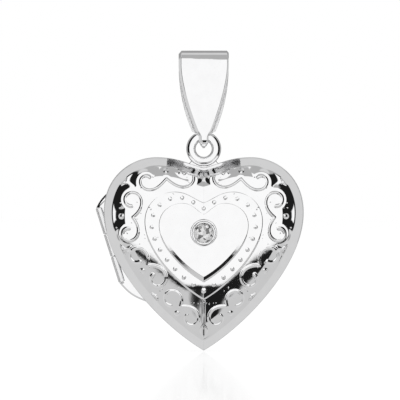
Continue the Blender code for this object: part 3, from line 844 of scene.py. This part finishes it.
def build_bail():
    """The strap, folded over the chain and bent through the eyelet."""
    path = bail_path()
    count = len(path)
    points = []
    for index, (y, z, width) in enumerate(path):
        before = path[index - 1]
        after = path[(index + 1) % count]
        run = np.array([after[0] - before[0], after[1] - before[1]])
        run /= np.linalg.norm(run)
        out = np.array([run[1], -run[0]])
        section = bail_section(width)
        points += [(across, y + away * out[0], z + away * out[1]) for across, away in section]
    size = len(bail_section(1.0))
    faces = bands(count, size, closed=True)
    bail = make_piece("bail_strap", points, faces, SILVER, "bail", "bail", 12.0)
    # the inside of the strap is left unpolished
    bail.data.materials.append(SATIN)
    for index, face in enumerate(bail.data.polygons):
        face.material_index = 1 if index % size == size - 1 else 0


# ---- eyelet


def facing_forwards(x, y, z):
    """A matrix, in millimetres, that turns a local Z axis to face forwards."""
    return np.array(Matrix.Translation((x, y, z)) @ Matrix.Rotation(math.radians(90), 4, "X"))


EYELET_RADIUS = half_size("eyelet", 0)
EYELET_HOLE = 0.8
EYELET_SLOPE = 0.2
EYELET_SLOPE_DROP = 0.15
# The ring's outer side: how far its edge lies inside the rim, and the arc it follows
EYELET_EDGE_INSET = 0.13
EYELET_ARC = math.radians(54)
EYELET_ARC_STEPS = 5
# The chamfer of the hole as (outwards, below the face)
EYELET_CHAMFER = ((0.22, 0.0), (0.2, 0.02), (0.0, 0.27))
SADDLE_NECK = 1.25
SADDLE_FLARE = 1.7
SADDLE_RISE = 0.62
SADDLE_STEPS = 9
# Heights of the saddle's sides and foot, counted from the cleft
SADDLE_SIDE_END = 0.3
SADDLE_FOOT = ((0.5, -0.05), (0.0, -0.26))
SADDLE_DEPTHS = (0.03, 0.45)
SADDLE_BEVEL = 0.05


def build_eyelet():
    """The rounded ring in the cleft and the saddle that it is soldered to."""
    high = node_box("eyelet")[1]
    radius = EYELET_RADIUS
    half = high[1]
    middle = high[2] - radius
    slope_foot = half - EYELET_SLOPE_DROP
    face = radius - EYELET_SLOPE
    profile = [(face - EYELET_EDGE_INSET - 0.04, half), (face - EYELET_EDGE_INSET, half - 0.01)]
    for step in range(EYELET_ARC_STEPS + 1):
        turn = EYELET_ARC * (1 - step / EYELET_ARC_STEPS)
        fall = EYELET_EDGE_INSET / (1 - math.cos(EYELET_ARC)) * (1 - math.cos(turn))
        profile.append((radius - fall, slope_foot * (math.sin(turn) / math.sin(EYELET_ARC))))
    profile = [(away, height) for away, height in profile if height > 0]
    profile += [(away, -height) for away, height in reversed(profile)]
    chamfer = [(EYELET_HOLE + away, half - below) for away, below in EYELET_CHAMFER]
    profile += [(away, -height) for away, height in chamfer]
    profile += list(reversed(chamfer))
    where = facing_forwards(0, 0, middle)
    ring_piece = turned("eyelet_ring", profile, where, SILVER, "back_half", "eyelet", 96)
    # the saddle: a neck that flares into the cleft
    cleft = TIP_Z + HEART_HEIGHT - CLEFT_DEPTH
    heights = np.linspace(middle - radius + SADDLE_RISE, cleft + SADDLE_SIDE_END, SADDLE_STEPS)
    flare = np.linspace(0, 1, SADDLE_STEPS) ** 2
    right = list(zip(SADDLE_NECK + (SADDLE_FLARE - SADDLE_NECK) * flare, heights))
    right += [(SADDLE_FLARE * share, cleft + height) for share, height in SADDLE_FOOT]
    left = [(-across, height) for across, height in right[-2::-1]]
    outline = right + left
    saddle = plate("eyelet_saddle", outline, *SADDLE_DEPTHS, SADDLE_BEVEL, SILVER, "back_half")


# ---- stone


# The brilliant as (share of the radius, height over the panel), and its girdle's thickness
STONE_TABLE = (0.56, 0.14)
STONE_GIRDLE = -0.1
STONE_GIRDLE_THICKNESS = 0.05
STONE_STAR = (0.79, STONE_GIRDLE + (STONE_TABLE[1] - STONE_GIRDLE) * 0.56)
STONE_LOWER_FACETS = (0.52, -0.46)
STONE_CULET = -0.77
# The cup, counted from the panel: stand above it, foot below it, and its inner seat and well
CUP_STAND = 0.08
CUP_EDGE = 0.03
CUP_WALL_FOOT = -0.5
CUP_FOOT = -0.85
CUP_FOOT_SHARE = 0.72
CUP_SEAT = -0.21
CUP_SEAT_WIDTH = 0.06
CUP_WELL_RADIUS = 0.32
CUP_WELL_TOP = -0.66
GRAIN_RADIUS = 0.14
GRAIN_OUTWARDS = 0.02


def build_stone():
    """A round brilliant: table, star, kite and girdle facets above, and a pointed pavilion."""
    shape = bmesh.new()
    places = []
    for index in range(8):
        places.append(around(*STONE_TABLE, 45 * index))
        places.append(around(*STONE_STAR, 45 * index + 22.5))
        places.append(around(*STONE_LOWER_FACETS, 45 * index + 22.5))
    for index in range(16):
        places.append(around(1, STONE_GIRDLE, 22.5 * index))
        places.append(around(1, STONE_GIRDLE - STONE_GIRDLE_THICKNESS, 22.5 * index))
    places.append((0, 0, STONE_CULET))
    turn_forwards = facing_forwards(0, -HALF_DEPTH, TIP_Z + STONE_Z)
    for x, y, z in places:
        local = np.array([x * STONE_RADIUS, y * STONE_RADIUS, z, 1.0])
        shape.verts.new((turn_forwards @ local)[:3] * MM)
    bmesh.ops.convex_hull(shape, input=shape.verts)
    stone = shape_object("brilliant", shape)
    stone.data.materials.append(STONE_WITH_PAINTED_GLINTS)
    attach(stone, "front_half")
    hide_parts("stone")


def build_setting():
    """The cup around the stone, bright-cut inside its edge, with four grains."""
    profile = [
        (SETTING_OUTSIDE - CUP_EDGE, CUP_STAND),
        (SETTING_OUTSIDE, CUP_STAND - CUP_EDGE),
        (SETTING_OUTSIDE, CUP_WALL_FOOT),
        (SETTING_OUTSIDE * CUP_FOOT_SHARE, CUP_FOOT),
        (CUP_WELL_RADIUS, CUP_FOOT),
        (CUP_WELL_RADIUS, CUP_WELL_TOP),
        (SETTING_INSIDE - CUP_SEAT_WIDTH, CUP_SEAT),
        (SETTING_INSIDE, CUP_SEAT),
        (SETTING_INSIDE, CUP_STAND - 0.04),
        (SETTING_INSIDE + CUP_EDGE, CUP_STAND),
    ]
    where = facing_forwards(0, -HALF_DEPTH, TIP_Z + STONE_Z)
    cup = turned("setting_cup", profile, where, SILVER, "front_half", "stone_setting", 96)
    shape = bmesh.new()
    shape.from_mesh(cup.data)
    for index in range(4):
        grain = around(SETTING_INSIDE + GRAIN_OUTWARDS, CUP_STAND, 45 + 90 * index)
        place = Matrix.Translation((where @ np.array([*grain, 1.0]))[:3] * MM)
        bmesh.ops.create_icosphere(shape, subdivisions=3, radius=GRAIN_RADIUS * MM, matrix=place)
    for face in shape.faces:
        face.smooth = True
    shape.to_mesh(cup.data)
    shape.free()


# ---- hinge

KNUCKLE_RADIUS = half_size("hinge_knuckle_middle", 1)
KNUCKLE_BORE = 0.16
KNUCKLE_CHAMFER = 0.05
MIDDLE_LENGTH = 2.3
END_LENGTH = 2.65
END_PLACE = 2.535
PIN_RADIUS = half_size("hinge_pin", 1)
PIN_LENGTH = 7.6
# The pin's rounded ends as (share of its radius, distance from the end)
PIN_ENDS = ((1.0, 0.06), (0.8, 0.015), (0.5, 0.0))
WING_START = 1.21
WING_END = 3.89
# The plates beside the hinge: direction, how far they reach along the side, and their bulge
WINGS = (("upper", 1, 1.5, 0.1), ("lower", -1, 1.9, 0.28))
WING_DEPTHS = (0.03, 0.33)
WING_BEVEL = 0.18
WING_CORNER_SHARE = 0.9
WING_EDGE_POINTS = 13
HINGE_UP = -HINGE_AXIS
HINGE_INWARD = np.array([HINGE_UP[2], 0.0, -HINGE_UP[0]])


def on_hinge(along, inward=0.0):
    """A point (x, z) beside the hinge line."""
    return (HINGE_PLACE + HINGE_UP * along + HINGE_INWARD * inward)[[0, 2]]


def hinge_matrix(along):
    """A matrix, in millimetres, with its local Z axis up the hinge."""
    matrix = np.eye(4)
    matrix[:3, 0] = HINGE_INWARD
    matrix[:3, 1] = np.cross(HINGE_UP, HINGE_INWARD)
    matrix[:3, 2] = HINGE_UP
    matrix[:3, 3] = HINGE_PLACE + HINGE_UP * along
    return matrix


def outline_at(height):
    """The point (x, z) of the heart's left side at a height."""
    wide = int(np.argmax(HEART[:, 0]))
    side = HEART[: wide + OUTLINE_STEPS // 2]
    return np.array([-np.interp(height, side[:, 1], side[:, 0]), height])


def build_wing(name, direction, reach, bulge):
    """The plate that fills the corner between an end knuckle and the curved side."""
    corner = on_hinge(direction * WING_END, -WING_CORNER_SHARE * KNUCKLE_RADIUS)
    landing = outline_at(corner[1] + direction * reach)
    chord = landing - corner
    away = np.array([-chord[1], chord[0]]) / np.linalg.norm(chord) * direction
    edge = []
    for share in np.linspace(0, 1, WING_EDGE_POINTS):
        edge.append(corner + chord * share + away * bulge * math.sin(math.pi * share))
    outline = [on_hinge(direction * WING_START), on_hinge(direction * WING_END)] + edge
    outline.append(landing + HINGE_INWARD[[0, 2]] * 2 * INNER_WALL)
    outline.append(on_hinge(direction * WING_START, 2 * KNUCKLE_RADIUS))
    node = "hinge_wing_" + name
    wing = plate("wing_" + name, outline, *WING_DEPTHS, WING_BEVEL, SILVER, "back_half", node)


def both_ends(top):
    """A profile of (radius, height) from its upper half."""
    return [(radius, -height) for radius, height in reversed(top)] + top


def build_hinge():
    """Three chamfered tubes, their pin and the two wings."""
    tubes = (
        ("upper", END_PLACE, END_LENGTH, "back_half"),
        ("middle", 0.0, MIDDLE_LENGTH, "front_half"),
        ("lower", -END_PLACE, END_LENGTH, "back_half"),
    )
    for name, place, length, body in tubes:
        half = length / 2
        top = [
            (KNUCKLE_RADIUS, half - KNUCKLE_CHAMFER),
            (KNUCKLE_RADIUS - KNUCKLE_CHAMFER, half),
            (KNUCKLE_BORE, half),
        ]
        profile = both_ends(top)
        where = hinge_matrix(place)
        tube = turned("tube_" + name, profile, where, SATIN, body, "hinge_knuckle_" + name)
    end = PIN_LENGTH / 2
    top = [(PIN_RADIUS * share, end - below) for share, below in PIN_ENDS]
    where = hinge_matrix(0)
    pin = turned("pin_wire", both_ends(top), where, PIN_SILVER, "back_half", "hinge_pin", hollow=False)
    for name, direction, reach, bulge in WINGS:
        build_wing(name, direction, reach, bulge)


# ---- inside the locket

# Side, body, and the insets of window, and of the frame's outside and inside, with its depths
INSIDES = (
    ("back", 1, "back_half", 0.72, (0.44, 0.56), 0.72, 1.57, (0.10, 0.40)),
    ("front", -1, "front_half", 0.98, (0.48, 0.60), 0.98, 1.83, (0.14, 0.44)),
)
FRAME_BEVEL = 0.06
SHEET_BEVEL = 0.02
SHEET_COLUMNS = 96
# The front's inner rim as (inset, depth)
FRONT_RIM_BAND = ((0.74, 0.38), (0.74, 0.74), (1.36, 0.74))
FRONT_RIM_LEDGE = ((1.36, 0.64), (0.94, 0.64), (0.94, 0.38))


def build_inside():
    """The clear sheets over the photos, the frames that hold them, and the front's inner rim."""
    for name, side, body, inset, sheet, outside, inside, frame_depths in INSIDES:
        outline = ring(inset_half(HEART, inset), SHEET_COLUMNS)
        depths = sheet if side > 0 else (-sheet[1], -sheet[0])
        node = name + "_photo_window"
        window = plate(name + "_sheet", outline, *depths, SHEET_BEVEL, CLEAR_SHEET, body, node)
        low, high = frame_depths
        section = [(outside, low), (outside, high), (inside, high)]
        section += [(inside, low + FRAME_BEVEL), (inside - FRAME_BEVEL, low)]
        made = hoop(name + "_frame_heart", section, side, SATIN, body, name + "_photo_frame")
    section = FRONT_RIM_BAND + FRONT_RIM_LEDGE
    rim = hoop("front_rim_band", section, -1, SATIN, "front_half", "front_inner_rim")


# ---- build

front_cover = build_shell("front_cover", -1, SILVER, "front_half", "front_shell")
back_cover = build_shell("back_cover", 1, SILVER, "back_half", "back_shell")
build_bail()
build_eyelet()
build_stone()
build_setting()
build_hinge()
build_inside()
for name, node in frame["nodes"].items():
    if not node.hide_render:
        node.data.materials.clear()
        node.data.materials.append(SILVER)


# ---- studio

VIEW_MIDDLE = (-0.37, 0.0, -14.6)
VIEW_WIDTH = 40.0
CAMERA_DISTANCE = 300.0
SENSOR = 36.0
TENT_RADIUS = 420.0
# Brightness of the tent's parts
FRONT_LEVEL = 1.0
DARK_LEVEL = 0.012
CEILING_LEVEL = 0.44
TABLE_LEVEL = 0.6
BEHIND_LEVEL = 0.66
FAR_BEHIND_LEVEL = 0.34
# Where the dark sides begin and the dark strip fades, in degrees from the view's line
SIDES_FROM = (47, 52)
STRIP_FADE = (50, 70)
# Where the parts behind the locket begin, as the backward share of a direction
BEHIND_FROM = (-0.02, 0.08)
FAR_BEHIND_FROM = (0.3, 0.5)
BACK_FROM = (0.9, 0.96)
# The dark patch below the camera, and heights in degrees of ceiling, table and dark strip
STAND_MIDDLE = 4.0
STAND_HALF_ANGLE = 8.0
STAND_FOOT = 50.0
LEFT_CEILING = 60.0
RIGHT_CEILING = 50.0
LEFT_TABLE = 12.5
RIGHT_TABLE = 19.0
EDGE_START = 11.5
LEFT_EDGE = 15.0
RIGHT_EDGE = 19.0
FLOOR_COLOR = (0.96, 0.96, 0.96, 1.0)
FLOOR_GLOW = 1.16
FLOOR_GLOW_SHARE = 0.8
FLOOR_GLOSS_SHARE = 0.3
FLOOR_ROUGHNESS = 0.08
FLOOR_GAP = 0.06
FLOOR_SIZE = 2.0
LIGHT_SIZE = 0.6
LIGHT_ENERGY = 1.2
LIGHT_PLACE = (0, -0.1, 0.5)


def add_camera():
    """A long lens, level with the locket, as wide as the picture at its middle plane."""
    data = bpy.data.cameras.new("camera")
    data.sensor_width = SENSOR
    data.lens = SENSOR * CAMERA_DISTANCE / VIEW_WIDTH
    data.clip_start = 0.01
    data.clip_end = 10.0
    camera = add_object("camera", data)
    camera.location = Vector(VIEW_MIDDLE) * MM + Vector((0, -CAMERA_DISTANCE * MM, 0))
    camera.rotation_euler = (math.radians(90), 0, 0)
    bpy.context.scene.camera = camera


def soft(value, width):
    """0 to 1 as a value passes zero, over a width on either side."""
    return smooth_step(-width, width, value)


def tent_light(direction):
    """Brightness of the studio's tent seen in a direction from the locket."""
    x, y, z = direction.T
    up = np.degrees(np.arcsin(np.clip(z, -1, 1)))
    turned_away = np.degrees(np.arctan2(np.abs(x), -y))
    right = soft(x, 0.05)
    ceiling = blended(LEFT_CEILING, RIGHT_CEILING, right)
    table = blended(LEFT_TABLE, RIGHT_TABLE, right)
    edge = blended(LEFT_EDGE, RIGHT_EDGE, right)
    level = np.full(len(x), FRONT_LEVEL)
    level = blended(level, DARK_LEVEL, smooth_step(*SIDES_FROM, turned_away))
    level = blended(level, CEILING_LEVEL, soft(up - ceiling, 3))
    level = blended(level, TABLE_LEVEL, soft(-up - table, 1))
    strip = soft(-up - EDGE_START, 0.5) * (1 - soft(-up - edge, 0.7))
    level = blended(level, DARK_LEVEL, strip * (1 - smooth_step(*STRIP_FADE, turned_away)))
    stand = soft(-up - EDGE_START, 0.5) * (1 - soft(-up - STAND_FOOT, 2))
    sideways = np.abs(np.degrees(np.arctan2(x, -y)) - STAND_MIDDLE)
    stand *= 1 - soft(sideways - STAND_HALF_ANGLE, 3)
    level = blended(level, DARK_LEVEL, stand)
    level = blended(level, BEHIND_LEVEL, smooth_step(*BEHIND_FROM, y))
    level = blended(level, FAR_BEHIND_LEVEL, smooth_step(*FAR_BEHIND_FROM, y))
    return blended(level, FRONT_LEVEL, smooth_step(*BACK_FROM, y))


def add_tent():
    """A large tent that only mirrors and clear pieces see: white in front, dark at the sides."""
    shape = bmesh.new()
    bmesh.ops.create_uvsphere(shape, u_segments=256, v_segments=128, radius=TENT_RADIUS * MM)
    tent = shape_object("tent", shape)
    mesh = tent.data
    places = np.zeros(len(mesh.vertices) * 3)
    mesh.vertices.foreach_get("co", places)
    places = places.reshape(-1, 3)
    level = tent_light(places / np.linalg.norm(places, axis=1)[:, None])
    brightness = mesh.attributes.new("brightness", "FLOAT", "POINT")
    brightness.data.foreach_set("value", level.astype(np.float32))
    tent.location = (0, 0, (TIP_Z + HEART_HEIGHT / 2) * MM)
    material, tree = new_material("tent")
    tree.nodes.clear()
    link = tree.links.new
    value = tree.nodes.new("ShaderNodeAttribute")
    value.attribute_name = "brightness"
    glow = tree.nodes.new("ShaderNodeEmission")
    output = tree.nodes.new("ShaderNodeOutputMaterial")
    link(value.outputs["Fac"], glow.inputs["Strength"])
    link(glow.outputs["Emission"], output.inputs["Surface"])
    mesh.materials.append(material)
    tent.visible_camera = False
    tent.visible_diffuse = False
    tent.visible_shadow = False


def add_floor():
    """A pale, faintly glossy floor just below the tip."""
    shape = bmesh.new()
    bmesh.ops.create_grid(shape, x_segments=8, y_segments=8, size=FLOOR_SIZE)
    floor = shape_object("floor", shape)
    floor.location = (0, 0, (TIP_Z - FLOOR_GAP) * MM)
    material, tree = new_material("floor")
    tree.nodes.clear()
    link = tree.links.new
    matt = add_node(tree, "ShaderNodeBsdfDiffuse", Color=FLOOR_COLOR)
    glow = add_node(tree, "ShaderNodeEmission", Strength=FLOOR_GLOW)
    lit = add_node(tree, "ShaderNodeMixShader", Fac=FLOOR_GLOW_SHARE)
    gloss = add_node(tree, "ShaderNodeBsdfGlossy", Roughness=FLOOR_ROUGHNESS)
    mixed = add_node(tree, "ShaderNodeMixShader", Fac=FLOOR_GLOSS_SHARE)
    output = tree.nodes.new("ShaderNodeOutputMaterial")
    link(matt.outputs["BSDF"], lit.inputs[1])
    link(glow.outputs["Emission"], lit.inputs[2])
    link(lit.outputs["Shader"], mixed.inputs[1])
    link(gloss.outputs["BSDF"], mixed.inputs[2])
    link(mixed.outputs["Shader"], output.inputs["Surface"])
    floor.data.materials.append(material)
    floor.visible_glossy = False
    floor.visible_transmission = False


def add_light():
    """A white room and one soft light overhead."""
    world = bpy.data.worlds.new("room")
    world.use_nodes = True
    background = world.node_tree.nodes["Background"].inputs
    background["Color"].default_value = (1, 1, 1, 1)
    background["Strength"].default_value = 1.0
    bpy.context.scene.world = world
    data = bpy.data.lights.new("overhead", "AREA")
    data.shape = "DISK"
    data.size = LIGHT_SIZE
    data.energy = LIGHT_ENERGY
    light = add_object("overhead", data)
    light.location = LIGHT_PLACE
    light.visible_glossy = False
    light.visible_transmission = False
    bpy.context.scene.view_settings.view_transform = "Standard"


add_camera()
add_tent()
add_floor()
add_light()


def corners(box):
    """A box as plain lists of numbers."""
    return [[float(value) for value in corner] for corner in box]
